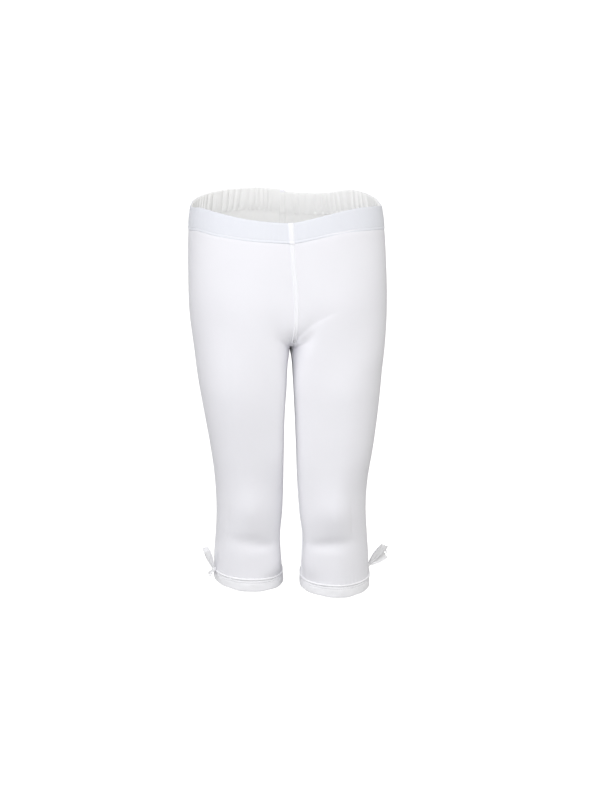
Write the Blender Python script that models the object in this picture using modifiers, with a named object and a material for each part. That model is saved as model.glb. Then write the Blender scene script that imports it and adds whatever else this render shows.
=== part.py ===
"""Three-quarter leggings for a child of about eight, as filled out when worn, with a small bow at each outer hem.

The script is in metres with +Z up. The front faces -Y and the wearer's left is +X. The origin is the
centre of the waist opening, level with the rim at the sides. Tables and sizes are in millimetres, and
"drop" is a height measured downwards from the origin.

Each leg is one cut piece, as leggings are made: it runs from the front seam round the outer side to the
back seam, and below the crotch its two edges meet in the inseam. A piece is a surface P(u, drop), where u
goes from 0 at the front seam or inseam, through 0.5 at the outer side, to 1 at the back seam or inseam.
"""

import math
from typing import NamedTuple

import bmesh
import bpy
import numpy as np
from mathutils import Matrix

MM = 0.001
SIDES = {"left": 1, "right": -1}

# Cloth
SEAM_GAP = 0.3
BAND_GAP = 0.45
JERSEY = 1.2
BAND_THICKNESS = 2.8
HEM_THICKNESS = 1.9
SEAM_THICKNESS = 0.8
SEAM_LIFT = 0.6
ALLOWANCE_LIFT = 1.2
RIBBON = 1.0

# Levels
SPLIT_DROP = 128
CROTCH_DROP = 174
TURN_TOP_DROP = 90
TURN_BOTTOM_DROP = 235
EDGE_REACH = 0.13
KNEE_DROP = 384
HEM_TOP_DROP = {"left": 473.5, "right": 468}
HEM_TILT = 2.5
HEM_ROLL = {"left": 2.0, "right": -1.2}
HEM_HEIGHT_FRONT = 17
HEM_HEIGHT_BACK = 10

# Waistband
BAND_HEIGHT_FRONT = 24
BAND_HEIGHT = 28
BAND_WIDENING = 0.3
BAND_PROUD = 0.5
GATHER_DEPTH = 1.3
GATHERS_PER_HALF = 10

# Seams and bows
SEAM_WIDTH = 6
ALLOWANCE_WIDTH = 8
INSEAM_WIDTH = 4
FRONT_SEAM_SHIFT = 7
RIM_SQUARENESS = 2.3
HIP_SQUARENESS = 2.6
LEG_SQUARENESS = 2.3
THIGH_SQUARENESS = 5.0
INNER_SQUARENESS = {"left": 4.2, "right": 5.0}
THIGH_END_DROP = 265
HEM_ROUND_DROP = 435
THIGH_TURN = {"left": 0.06, "right": 0.0}
TURN_SQUARENESS = 2.5
EDGE_CROWDING = 0.8
CROWDING_REACH = 0.16

# Grids
COLUMNS = 22
TORSO_ROWS = 5
SPLIT_ROWS = 6
LEG_ROWS = 15
BAND_COLUMNS = 2 * COLUMNS
RISE_STRIP_ROWS = TORSO_ROWS + 4
ALLOWANCE_ROWS = TORSO_ROWS + 3
INSEAM_START_ROW = 1


class Torso(NamedTuple):
    """A level section of the body part of the leggings."""

    drop: float
    half_width: float
    front: float
    back: float


class Leg(NamedTuple):
    """A level section of one leg, as distances from the origin's two upright planes."""

    drop: float
    inner: float
    outer: float
    front: float
    back: float


class Ribbon(NamedTuple):
    """A loop or a tail of a bow: where it points from the knot, its length, width, swell and roll."""

    name: str
    shape: str
    out: float
    forward: float
    up: float
    length: float
    width: float
    swell: float
    roll: float


class Rim(NamedTuple):
    """Height of the waist rim at an angle round from the centre front."""

    angle: float
    left: float
    right: float


TORSO = [
    Torso(-12, 116.6, 78, 84),
    Torso(0, 118.4, 79, 85),
    Torso(15, 120.6, 80, 87),
    Torso(35, 122.2, 81.5, 89),
    Torso(85, 123.9, 83.5, 95),
    Torso(120, 124.2, 83.5, 97),
    Torso(146, 123.4, 81.5, 94),
    Torso(166, 121.4, 79, 88),
    Torso(190, 118.0, 75.5, 80),
    Torso(235, 113.0, 70, 68),
]

LEGS = {
    "right": [
        Leg(120, 0.2, 123.7, 82, 92),
        Leg(CROTCH_DROP, 0.2, 119.6, 76.5, 80),
        Leg(190, 3.6, 118.2, 74.5, 77),
        Leg(218, 5.6, 115.0, 70.5, 70),
        Leg(250, 7.8, 110.0, 65.5, 64),
        Leg(300, 9.0, 101.2, 58, 55),
        Leg(350, 9.0, 95.0, 52, 47),
        Leg(KNEE_DROP, 10.2, 93.7, 48, 44),
        Leg(418, 13.0, 95.0, 45, 47),
        Leg(445, 12.4, 97.2, 43, 50),
        Leg(500, 7.6, 98.4, 44, 51),
    ],
    "left": [
        Leg(120, 0.2, 123.9, 82.5, 92),
        Leg(CROTCH_DROP, 0.2, 121.1, 77.5, 80),
        Leg(190, 3.4, 119.8, 76, 76),
        Leg(218, 5.2, 117.0, 74, 68),
        Leg(250, 6.8, 113.4, 72, 59),
        Leg(300, 8.6, 107.0, 70.5, 45),
        Leg(350, 9.6, 99.2, 69, 33),
        Leg(KNEE_DROP, 11.4, 97.0, 67, 27),
        Leg(418, 15.4, 98.4, 63, 30),
        Leg(445, 14.6, 100.2, 61, 33),
        Leg(500, 10.6, 101.8, 62, 34),
    ],
}

RIM = [
    Rim(0, -11.5, -11.5),
    Rim(18, -3.0, -8.0),
    Rim(40, 3.5, -1.5),
    Rim(60, 3.5, 3.0),
    Rim(90, 0.5, 1.0),
    Rim(112, 7.5, 6.5),
    Rim(135, 11.5, 11.0),
    Rim(155, 6.5, 13.0),
    Rim(170, 6.0, 13.0),
    Rim(180, 8.0, 10.5),
]

# Bows: a ribbon's path as (share of the length, share of the swell, share of the width)
RIBBON_SHAPES = {
    "loop": [
        (0.0, 0.35, 0.38),
        (0.2, 0.7, 0.65),
        (0.5, 1.0, 1.0),
        (0.82, 0.9, 1.0),
        (1.0, 0.0, 1.0),
        (0.82, -0.9, 1.0),
        (0.5, -1.0, 1.0),
        (0.2, -0.7, 0.65),
        (0.0, -0.35, 0.38),
    ],
    "tail": [(0.0, 0.0, 0.5), (0.35, 0.3, 0.9), (0.7, 0.4, 1.0), (1.0, 0.0, 1.0)],
    "curl": [
        (0.0, 0.0, 0.6),
        (0.3, -0.3, 1.0),
        (0.6, -0.45, 1.0),
        (0.85, -0.1, 1.0),
        (0.97, 0.5, 1.0),
        (0.98, 1.15, 0.9),
        (0.9, 1.7, 0.7),
    ],
}
BOWS = {
    "right": [
        Ribbon("loop_front", "loop", 0.28, 0.3, 0.92, 24.5, 8, 1.3, 80),
        Ribbon("loop_back", "loop", 0.38, -0.38, 0.92, 24.5, 8, 1.3, 80),
        Ribbon("tail_front", "tail", 0.45, 0.3, -0.62, 7, 4.5, 0.8, 0),
        Ribbon("tail_back", "tail", 0.45, -0.55, -0.6, 10, 4.5, 1.5, 0),
    ],
    "left": [
        Ribbon("loop_front", "loop", 0.65, 0.24, 0.9, 32.5, 12, 1.2, 84),
        Ribbon("loop_back", "loop", 0.88, -0.42, 0.4, 25, 10, 1.2, 84),
        Ribbon("tail_front", "tail", 0.05, 0.4, -0.9, 11, 4, 0.6, 0),
        Ribbon("tail_back", "curl", 1.02, -1.62, 0.5, 39.5, 4, 5.0, 0),
    ],
}
KNOT_RADII = (2.8, 3.4, 4.2)
LOOP_GAP = 0.7
BOW_TURN = {"left": 0.5, "right": 0.455}
BOW_RISE = {"left": 5, "right": 1}
BOW_STAND = {"left": 0.1, "right": 0.8}

# The lower body leans a little to the wearer's left, and the front seam wanders further than the rest.
LEAN = [(0, -0.8), (60, 0.0), (183, 2.5), (370, 2.5), (480, 3.5)]
SEAM_WANDER = [(10, 0.0), (60, 3.0), (95, 6.0), (125, FRONT_SEAM_SHIFT), (160, 5.0), (183, 2.5)]

# How far each leg's inseam lies forward of the innermost line at the hem, in degrees
INSEAM_FORWARD = {"left": 20, "right": -4}


def smooth_curve(x, points):
    """Value at x of a smooth curve through (x, y) points, held level beyond both ends."""
    xs, ys = np.array(points, float).T
    slopes = np.gradient(ys, xs)
    x = np.clip(x, xs[0], xs[-1])
    i = np.clip(np.searchsorted(xs, x) - 1, 0, len(xs) - 2)
    step = xs[i + 1] - xs[i]
    t = (x - xs[i]) / step
    return (
        (2 * t**3 - 3 * t**2 + 1) * ys[i]
        + (t**3 - 2 * t**2 + t) * step * slopes[i]
        + (3 * t**2 - 2 * t**3) * ys[i + 1]
        + (t**3 - t**2) * step * slopes[i + 1]
    )


def table_value(table, column, drop):
    """A named column of a table of sections, at any drop."""
    return smooth_curve(drop, [(row.drop, getattr(row, column)) for row in table])


def ease(t):
    """0 below 0, 1 above 1, and a smooth step between."""
    t = np.clip(t, 0, 1)
    return t * t * (3 - 2 * t)


def waist_share(u):
    """Share of the way round the waist from front to back. The part of a piece that becomes the leg's inner
    side lies crowded beside the seams."""
    edge = np.minimum(u, 1 - u)
    crowded = edge * (1 - EDGE_CROWDING * np.exp(-((edge / CROWDING_REACH) ** 2)))
    return np.where(u < 0.5, crowded, 1 - crowded)


def even_waist(count):
    """Values of u that lie at even steps round the waist."""
    dense = np.linspace(0, 1, 4001)
    return np.interp(np.linspace(0, 1, count), waist_share(dense), dense)


def torso_point(u, drop):
    """Half of a rounded-square oval: x is 0 at both ends, y goes from the front to the back."""
    angle = np.pi * waist_share(u)
    power = 2 / (RIM_SQUARENESS + (HIP_SQUARENESS - RIM_SQUARENESS) * np.exp(-(((drop - 90) / 50) ** 2)))
    across = np.abs(np.sin(angle)) ** power
    along = np.sign(np.cos(angle)) * np.abs(np.cos(angle)) ** power
    depth = np.where(along > 0, table_value(TORSO, "front", drop), table_value(TORSO, "back", drop))
    return table_value(TORSO, "half_width", drop) * across, -depth * along


def leg_point(side, u, drop):
    """A whole rounded-square oval: from the inner side, round the front, the outer side and the back, to the
    inner side. Its inner front is squarer than the rest."""
    table = LEGS[side]
    turn = math.radians(INSEAM_FORWARD[side]) * ease((drop - CROTCH_DROP) / (KNEE_DROP - CROTCH_DROP))
    angle = 2 * np.pi * u + turn
    inner, outer = table_value(table, "inner", drop), table_value(table, "outer", drop)
    front, back = table_value(table, "front", drop), table_value(table, "back", drop)
    across, along = np.cos(angle), np.sin(angle)
    thigh = 1 - ease((drop - CROTCH_DROP) / (THIGH_END_DROP - CROTCH_DROP))
    inner_front = INNER_SQUARENESS[side] + (THIGH_SQUARENESS - INNER_SQUARENESS[side]) * thigh
    inner_front += (LEG_SQUARENESS - inner_front) * ease((drop - HEM_ROUND_DROP) / 40)
    squareness = np.where((across > 0) & (along > 0), inner_front, LEG_SQUARENESS)
    reach = (np.abs(across) ** squareness + np.abs(along) ** squareness) ** (-1 / squareness)
    x = (inner + outer) / 2 - (outer - inner) / 2 * reach * across
    y = (back - front) / 2 - (back + front) / 2 * reach * along
    turned = ease((drop - CROTCH_DROP) / 40) * (1 - ease((drop - 300) / 100))
    return x + THIGH_TURN[side] * turned * (y - (back - front) / 2), y


def knee_bump(side, x, y, drop):
    """Forward swell of the cloth over the knee, with a shallow trough under it."""
    middle = (table_value(LEGS[side], "inner", KNEE_DROP) + table_value(LEGS[side], "outer", KNEE_DROP)) / 2
    facing = ease((table_value(LEGS[side], "back", drop) - 30 - y) / 40)
    swell = 5.0 * np.exp(-(((x - middle) / 24) ** 2) - ((drop - KNEE_DROP + 4) / 24) ** 2)
    trough = 2.6 * np.exp(-(((x - middle) / 26) ** 2) - ((drop - KNEE_DROP - 34) / 9) ** 2)
    return (swell - trough) * facing


def turn_corner(fall):
    """The rounded corner by which a piece's edge turns under at the crotch."""
    return 1 - (1 - np.clip(fall, 0, 1) ** TURN_SQUARENESS) ** (1 / TURN_SQUARENESS)


def turn_falls(count):
    """Falls from 0 to 1 at even distances round the rounded corner."""
    falls = np.sin(np.linspace(0, math.pi / 2, 4001))
    depth = table_value(TORSO, "front", CROTCH_DROP)
    steps = np.hypot(np.diff(falls) * (CROTCH_DROP - SPLIT_DROP), np.diff(turn_corner(falls)) * depth)
    length = np.concatenate([[0], np.cumsum(steps)])
    return np.interp(np.linspace(0, length[-1], count), length, falls)


def turn_sum(fall):
    """Area under the rounded corner from 0 to fall, where the corner is level before 0 and after 1."""
    falls = np.linspace(0, 1, 801)
    heights = turn_corner(falls)
    areas = np.concatenate([[0], np.cumsum((heights[1:] + heights[:-1]) / 2) / 800])
    return np.interp(fall, falls, areas) + np.clip(fall - 1, 0, None)


def leg_share(u, drop):
    """How far a point has turned from the body's section (0) to the leg's (1). A piece's edges follow the
    rounded corner of the rise into the crotch; the rest of the piece turns slowly over a greater height. The
    corner is averaged over a height that grows with the distance from the edge."""
    fall = (drop - SPLIT_DROP) / (CROTCH_DROP - SPLIT_DROP)
    away = np.abs(np.minimum(u, 1 - u))
    blur = 0.004 + 3.6 * away
    edge = (turn_sum(fall + blur) - turn_sum(fall - blur)) / (2 * blur)
    rest = ease((drop - TURN_TOP_DROP) / (TURN_BOTTOM_DROP - TURN_TOP_DROP))
    nearness = np.exp(-((away / EDGE_REACH) ** 4))
    return rest + (edge - rest) * nearness


def cloth_point(side, u, drop):
    """Point of the outer face of a leg piece, in millimetres, with the sideways lean of the garment."""
    u, drop = np.broadcast_arrays(np.asarray(u, float), np.asarray(drop, float))
    torso_x, torso_y = torso_point(u, drop)
    leg_x, leg_y = leg_point(side, u, drop)
    share = leg_share(u, drop)
    x = torso_x * (1 - share) + leg_x * share
    y = torso_y * (1 - share) + leg_y * share
    y = y - knee_bump(side, x, y, drop)
    x = SIDES[side] * np.maximum(x, SEAM_GAP / 2)
    return np.stack([x + sideways(x, y, drop), y, -drop], axis=-1)


def sideways(x, y, drop):
    """Sideways shift of a point: the garment's lean, and near the centre front the seam's own wander."""
    lean = smooth_curve(drop, LEAN)
    near_seam = np.exp(-((x / 45) ** 2)) * ease(-y / 40)
    return lean + (smooth_curve(drop, SEAM_WANDER) - lean) * near_seam


def rim_height(side, u):
    return smooth_curve(180 * waist_share(u), [(row.angle, getattr(row, side)) for row in RIM])


def band_height(u):
    """The waistband is narrower at the centre front."""
    return BAND_HEIGHT_FRONT + (BAND_HEIGHT - BAND_HEIGHT_FRONT) * ease(waist_share(u) / BAND_WIDENING)


def band_bottom_drop(side, u):
    """The waistband's lower edge, straight between the columns of the leg piece it is sewn to."""
    columns = np.linspace(0, 1, COLUMNS + 1)
    return np.interp(u, columns, band_height(columns) - rim_height(side, columns))


def hem_top_drop(side, u):
    """The hem's upper edge dips at the front and is a little lower on one side of the leg."""
    turn = 2 * np.pi * u
    return HEM_TOP_DROP[side] + HEM_TILT * np.sin(turn) - HEM_ROLL[side] * np.cos(turn)


def hem_height(u):
    middle, swing = (HEM_HEIGHT_FRONT + HEM_HEIGHT_BACK) / 2, (HEM_HEIGHT_FRONT - HEM_HEIGHT_BACK) / 2
    return middle + swing * np.sin(2 * np.pi * u)


def surface_normals(points):
    """Unit normals of a grid of points, rows running downwards and columns from the front to the back."""
    down = np.gradient(points, axis=0)
    round_it = np.gradient(points, axis=1)
    normals = np.cross(down, round_it)
    return normals / np.linalg.norm(normals, axis=-1, keepdims=True)


def outward(side, points):
    return surface_normals(points) * SIDES[side]


def leg_grid(side):
    """Points of a leg piece: rows from under the waistband to above the hem."""
    u = np.linspace(0, 1, COLUMNS + 1)
    top = band_bottom_drop(side, u) + BAND_GAP
    bottom = hem_top_drop(side, u) - SEAM_GAP
    straight = np.linspace(0, 1, TORSO_ROWS, endpoint=False)[:, None]
    turning = turn_falls(SPLIT_ROWS + 1)[:-1, None]
    falling = np.linspace(0, 1, LEG_ROWS + 1)[:, None]
    drops = np.concatenate(
        [
            top + (SPLIT_DROP - top) * straight,
            SPLIT_DROP + (CROTCH_DROP - SPLIT_DROP) * turning + 0 * u,
            CROTCH_DROP + (bottom - CROTCH_DROP) * falling,
        ]
    )
    return cloth_point(side, u, drops)


def band_grid(side):
    """Points of half of the waistband, with gathers that deepen towards the back."""
    u = even_waist(BAND_COLUMNS + 1)
    share = np.linspace(0, 1, 4)[:, None]
    rim = -rim_height(side, u)
    drops = rim + (band_bottom_drop(side, u) - rim) * share
    points = cloth_point(side, u, drops)
    waist = waist_share(u)
    wave = np.sin(2 * np.pi * (GATHERS_PER_HALF * waist + 0.35 * np.sin(9 * waist + SIDES[side])))
    window = (0.12 + 0.88 * ease((waist - 0.4) / 0.3)) * ease(waist / 0.05) * ease((0.96 - waist) / 0.06)
    lift = BAND_PROUD + GATHER_DEPTH * wave * window * (0.55 + 0.45 * np.cos(np.pi * (share - 0.35)))
    return points + outward(side, points) * lift[..., None]


def hem_grid(side):
    """Points of one hem: a small roll at its stitched upper edge, then the turned-up band."""
    profile = [(0.0, 0.2), (0.09, 1.3), (0.2, 0.1), (0.5, 0.5), (0.85, 0.5), (1.0, -0.3)]
    share, proud = (np.array(values)[:, None] for values in zip(*profile))
    u = np.linspace(0, 1, COLUMNS + 1)
    drops = hem_top_drop(side, u) + hem_height(u) * share
    points = cloth_point(side, u, drops)
    points = points + outward(side, points) * proud[..., None]
    points[:, 0] = points[:, -1] = (points[:, 0] + points[:, -1]) / 2
    return points


def edge_at(side, grid, column, rows):
    """Edge points of a piece, the unit directions along the cloth into it, and its outward normals."""
    inner = column + 1 if column == 0 else column - 1
    points, normals = grid[rows, column], outward(side, grid)[rows, column]
    along = grid[rows, inner] - points
    return points, along / np.linalg.norm(along, axis=-1, keepdims=True), normals


def strip_over(first, second, width, lift):
    """A strip over the join of two edges, as wide as said and lifted off the cloth by lift."""
    points_1, along_1, normals_1 = first
    points_2, along_2, normals_2 = second
    middle = (points_1 + points_2) / 2 + (normals_1 + normals_2) / 2 * lift
    one = points_1 + along_1 * width / 2 + normals_1 * lift
    other = points_2 + along_2 * width / 2 + normals_2 * lift
    return np.stack([one, middle, other], axis=1)


def rise_strip(bands, legs, column, lifts, width, rows):
    """The strip over the front rise (column 0) or the back rise (column -1), from the rim towards the
    crotch, over so many rows of the legs."""
    edges = {}
    for side in SIDES:
        band_column = column if column == 0 else BAND_COLUMNS
        leg_column = column if column == 0 else COLUMNS
        upper = edge_at(side, bands[side], band_column, slice(None))
        lower = edge_at(side, legs[side], leg_column, slice(0, rows))
        edges[side] = [
            np.concatenate([upper[0] + upper[2] * (lifts[0] - lifts[1]), lower[0]]),
            np.concatenate([upper[1], lower[1]]),
            np.concatenate([upper[2], lower[2]]),
        ]
    return strip_over(edges["right"], edges["left"], width, lifts[1])


def inseam_strip(side, legs):
    rows = slice(TORSO_ROWS + SPLIT_ROWS + INSEAM_START_ROW, None)
    front = edge_at(side, legs[side], 0, rows)
    back = edge_at(side, legs[side], COLUMNS, rows)
    return strip_over(back, front, INSEAM_WIDTH, SEAM_LIFT)


def ribbon_grid(side, centre, outwards, piece):
    """A ribbon that leaves the knot in a direction, along a path in the plane of that direction and of the
    way out from the leg, turned by the piece's roll about the direction."""
    away = np.array([SIDES[side] * piece.out, -piece.forward, piece.up], float)
    away /= np.linalg.norm(away)
    flat = np.cross(away, outwards)
    flat /= np.linalg.norm(flat)
    rise = np.cross(flat, away)
    roll = math.radians(piece.roll)
    wide = math.cos(roll) * flat + math.sin(roll) * rise
    thick = math.cos(roll) * rise - math.sin(roll) * flat
    shape = RIBBON_SHAPES[piece.shape]
    reach, stand, breadth = (np.array(values, float)[:, None] for values in zip(*shape))
    gap = LOOP_GAP if piece.shape == "loop" else SEAM_GAP
    start = 1 / np.linalg.norm(away / np.array(KNOT_RADII)) + gap
    line = centre + away * (start + reach * piece.length) + thick * stand * piece.swell
    return np.stack([line + wide * breadth * piece.width * share for share in (-0.5, 0, 0.5)], axis=1)


# ---------------------------------------------------------------- Blender objects


def fresh_scene():
    for obj in list(bpy.data.objects):
        bpy.data.objects.remove(obj)
    collection = bpy.data.collections.new("leggings")
    bpy.context.scene.collection.children.link(collection)
    return collection


def material(name, colour, roughness):
    made = bpy.data.materials.new(name)
    made.use_nodes = True
    shader = made.node_tree.nodes["Principled BSDF"]
    shader.inputs["Base Color"].default_value = (*colour, 1)
    shader.inputs["Roughness"].default_value = roughness
    shader.inputs["Metallic"].default_value = 0
    return made


def grid_object(collection, name, points, thickness, offset, finish):
    """A grid of points, in millimetres, as a wall: offset -1 thickens it inwards and 1 outwards. Columns that
    come round to the same place are joined there."""
    rows, columns = points.shape[:2]
    mesh = bmesh.new()
    verts = [mesh.verts.new(p * MM) for p in points.reshape(-1, 3)]
    for r in range(rows - 1):
        for c in range(columns - 1):
            a = r * columns + c
            corners = (a, a + columns, a + columns + 1, a + 1)
            mesh.faces.new([verts[i] for i in corners])
    bmesh.ops.remove_doubles(mesh, verts=mesh.verts, dist=0.002 * MM)
    data = bpy.data.meshes.new(name)
    mesh.to_mesh(data)
    mesh.free()
    data.shade_smooth()
    obj = bpy.data.objects.new(name, data)
    collection.objects.link(obj)
    data.materials.append(finish)
    wall = obj.modifiers.new("wall", "SOLIDIFY")
    wall.thickness = thickness * MM
    wall.offset = offset
    return obj


def facing_out(side, points):
    """The grid with its faces turned outwards: the right half is a mirror of the left."""
    return points if side == "left" else points[:, ::-1]


def knot_object(collection, name, centre, finish):
    """The wrap at the middle of a bow: a flattened ball."""
    bpy.ops.mesh.primitive_uv_sphere_add(segments=12, ring_count=8, radius=1)
    obj = bpy.context.object
    obj.name = name
    obj.data.transform(Matrix.Diagonal([*(radius * MM for radius in KNOT_RADII), 1]))
    obj.data.transform(Matrix.Translation([value * MM for value in centre]))
    obj.data.materials.append(finish)
    obj.data.shade_smooth()
    for old in obj.users_collection:
        old.objects.unlink(obj)
    collection.objects.link(obj)
    return obj


def bow_seat(side):
    """Where the knot stands, just off the outer side of the leg, and the level way out from the leg there."""
    turn = BOW_TURN[side]
    drop = hem_top_drop(side, turn) - BOW_RISE[side]
    before, surface, after = (cloth_point(side, turn + step, drop) for step in (-0.01, 0, 0.01))
    along = after - before
    outwards = np.array([along[1], -along[0], 0]) * SIDES[side]
    outwards /= np.linalg.norm(outwards)
    return surface + outwards * (KNOT_RADII[0] + BOW_STAND[side]), outwards


def build():
    collection = fresh_scene()
    jersey = material("white_jersey", (0.86, 0.86, 0.89), 0.85)
    double = material("white_jersey_doubled", (0.84, 0.86, 0.92), 0.85)
    stitched = material("white_seam", (0.92, 0.92, 0.95), 0.8)
    ribbon = material("white_ribbon", (0.84, 0.84, 0.87), 0.6)

    legs = {side: leg_grid(side) for side in SIDES}
    bands = {side: band_grid(side) for side in SIDES}
    for side in SIDES:
        grid_object(collection, f"leg_{side}", facing_out(side, legs[side]), JERSEY, -1, jersey)
        grid_object(collection, f"waistband_{side}", facing_out(side, bands[side]), BAND_THICKNESS, -1, double)
        hem = facing_out(side, hem_grid(side))
        grid_object(collection, f"hem_{side}", hem, HEM_THICKNESS, -1, double)
        strip = facing_out(side, inseam_strip(side, legs))
        grid_object(collection, f"inseam_{side}", strip, SEAM_THICKNESS, 1, stitched)

        centre, outwards = bow_seat(side)
        knot_object(collection, f"bow_{side}_knot", centre, ribbon)
        for piece in BOWS[side]:
            points = ribbon_grid(side, centre, outwards, piece)
            grid_object(collection, f"bow_{side}_{piece.name}", points, RIBBON, 0, ribbon)

    outside = (SEAM_LIFT, SEAM_LIFT)
    inside = (-BAND_THICKNESS - ALLOWANCE_LIFT, -JERSEY - ALLOWANCE_LIFT)
    front = rise_strip(bands, legs, 0, outside, SEAM_WIDTH, RISE_STRIP_ROWS)
    back = rise_strip(bands, legs, -1, outside, SEAM_WIDTH, RISE_STRIP_ROWS)
    allowance = rise_strip(bands, legs, -1, inside, ALLOWANCE_WIDTH, ALLOWANCE_ROWS)
    grid_object(collection, "front_seam", front, SEAM_THICKNESS, 1, stitched)
    grid_object(collection, "back_seam", back[:, ::-1], SEAM_THICKNESS, 1, stitched)
    grid_object(collection, "back_seam_allowance", allowance, SEAM_THICKNESS, 1, stitched)
    return collection


build()
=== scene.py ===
"""Looks of a child's three-quarter leggings in white jersey: the gathered waistband, the two leg pieces,
the hems, the seams with their stitches, and a small ribbon bow at each outer hem.

The garment is in millimetres; materials, lights, camera and floor are in metres. A "drop" is a depth below
the origin, the centre of the waist opening. A leg piece is a surface P(u, drop): u is 0 at the front seam or
inseam, 0.5 at the outer side and 1 at the back seam or inseam. A "lift" is a height along its outward normal.
"""

import math
from collections import namedtuple

import bpy
import numpy as np
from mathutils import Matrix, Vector


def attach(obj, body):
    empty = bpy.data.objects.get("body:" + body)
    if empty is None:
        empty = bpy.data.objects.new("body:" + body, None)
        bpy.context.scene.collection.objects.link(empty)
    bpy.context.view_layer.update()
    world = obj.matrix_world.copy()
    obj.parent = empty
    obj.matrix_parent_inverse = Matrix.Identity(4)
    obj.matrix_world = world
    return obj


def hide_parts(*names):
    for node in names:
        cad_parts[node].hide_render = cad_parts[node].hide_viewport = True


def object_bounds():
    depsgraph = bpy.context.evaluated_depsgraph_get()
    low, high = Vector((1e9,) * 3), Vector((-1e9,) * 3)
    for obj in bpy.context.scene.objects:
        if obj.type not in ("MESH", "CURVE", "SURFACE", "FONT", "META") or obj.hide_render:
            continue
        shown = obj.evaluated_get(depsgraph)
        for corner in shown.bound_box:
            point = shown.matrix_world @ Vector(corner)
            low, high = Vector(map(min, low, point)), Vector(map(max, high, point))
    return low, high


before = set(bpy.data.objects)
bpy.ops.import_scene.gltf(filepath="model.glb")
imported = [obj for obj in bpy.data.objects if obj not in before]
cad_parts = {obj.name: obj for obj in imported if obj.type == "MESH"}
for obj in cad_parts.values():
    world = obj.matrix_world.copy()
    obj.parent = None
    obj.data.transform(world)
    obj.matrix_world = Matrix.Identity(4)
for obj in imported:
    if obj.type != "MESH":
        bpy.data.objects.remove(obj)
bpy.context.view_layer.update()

MM = 0.001
SIDES = {"left": 1, "right": -1}
SEAM_ENDS = {"front": 0, "back": 1}

# Levels, as drops
HIP_DROP = 90
SPLIT_DROP = 128
CROTCH_DROP = 174
KNEE_DROP = 384
HEM_TOP_DROP = {"left": 473.5, "right": 468}

# Drops between which a form comes in, or goes out
TURN_DROPS = (90, 235)
THIGH_DROPS = (CROTCH_DROP, 265)
THIGH_TURN_IN = (CROTCH_DROP, 214)
THIGH_TURN_OUT = (300, 400)
INSEAM_DROPS = (CROTCH_DROP, KNEE_DROP)
SHIN_DROPS = (300, 370)
HEM_ROUND_DROPS = (435, 475)
SEAM_NARROWING = (90, 170)

# Squareness of the level sections: the power n of |x|^n + |y|^n = 1, which is 2 for an oval
RIM_SQUARENESS = 2.3
HIP_SQUARENESS = 2.6
HIP_REACH = 50
LEG_SQUARENESS = 2.3
HEM_SQUARENESS = 2.6
THIGH_SQUARENESS = {"left": 7.0, "right": 6.0}
INNER_SQUARENESS = {"left": 6.0, "right": 9.0}
OUTER_SQUARENESS = {"left": 1.62, "right": 2.0}
TURN_SQUARENESS = 2.5

# Turns and slants of the legs, the inseam's in degrees
INSEAM_FORWARD = {"left": 20, "right": -4}
INNER_SLANT = {"left": 0.12, "right": 0.2}
THIGH_TURN = {"left": 0.06, "right": 0.0}

# Distances in front of the leg's back between which the knee's swell comes in
KNEE_FACING = (30, 70)

# Edges of a leg piece: reaches in u, and the fold at the crotch with its growth away from the edge
EDGE_REACH = 0.13
EDGE_CROWDING = 0.8
CROWDING_REACH = 0.16
FOLD_BLUR = 0.004
BLUR_GROWTH = 3.6

# Waistband, with its heights at the centre front and elsewhere, and hems, with theirs behind and in front
BAND_HEIGHTS = (24, 28)
BAND_WIDENING = 0.3
BAND_GROOVE = 2.9
HEM_HEIGHTS = (10, 17)
HEM_TILT = 2.5
HEM_ROLL = {"left": 2.0, "right": -1.2}
HEM_GROOVES = [(0.205, -0.02), (0.375, 0.2)]

# Cloth, seams and thread
SEAM_GAP = 0.3
JERSEY = 1.2
TUCK = 3.0
HEM_TUCK = 1.5
RIBBON = 0.55
SEAM_WIDTH = 6.4
SEAM_SINK = 0.45
ALLOWANCE_WIDTH = 8.0
ALLOWANCE_END = 148
INSEAM_WIDTH = 4.0
UNDER_SEAM = 0.03
STITCH_PITCH = 2.7
SEAM_STITCH_PITCH = 2.4
STITCH_SHARE = 0.82
THREAD = 0.42
SEAM_THREAD = 0.38

# Grids
LEG_COLUMNS = 180
WAIST_ROWS = 60
RISE_ROWS = 40
LEG_ROWS = 120
BAND_COLUMNS = 360
HEM_COLUMNS = 300

# A level section of the body part, and one of a leg, as distances from the origin's two upright planes
Torso = namedtuple("Torso", "drop half_width front back")
Leg = namedtuple("Leg", "drop inner outer front back")

# Height of the waist rim at an angle round from the centre front
Rim = namedtuple("Rim", "angle left right")

# Folds over the elastic: how deep, from which share of the way round, and a shift of their waves
Gathers = namedtuple("Gathers", "depth start shift")

# A fold line on the front from one (x, drop) to another, which bows sideways by "bend". The cloth falls to it
# slowly from one side, by "depth" over "width", and rises quickly on the other, to "shoulder"
Crease = namedtuple("Crease", "side x_1 drop_1 x_2 drop_2 bend width depth shoulder")

# A broad rise of the front, or with a negative height a hollow
Swell = namedtuple("Swell", "side x drop reach_x reach_drop height")

# A loop or tail of a bow: where it points from the knot, its length, width, swell, roll in degrees, depth of
# the ruffle at its tip, and slant of its cut end
Ribbon = namedtuple("Ribbon", "name shape out forward up length width swell roll ruffle slant")

TORSO = [
    Torso(-12, 116.6, 78, 84),
    Torso(0, 118.4, 79, 85),
    Torso(15, 120.6, 80, 87),
    Torso(35, 122.2, 81.5, 89),
    Torso(85, 123.9, 83.5, 95),
    Torso(120, 124.2, 83.5, 97),
    Torso(146, 123.4, 81.5, 94),
    Torso(166, 121.4, 79, 88),
    Torso(190, 118.0, 75.5, 80),
    Torso(235, 113.0, 70, 68),
]

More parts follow.
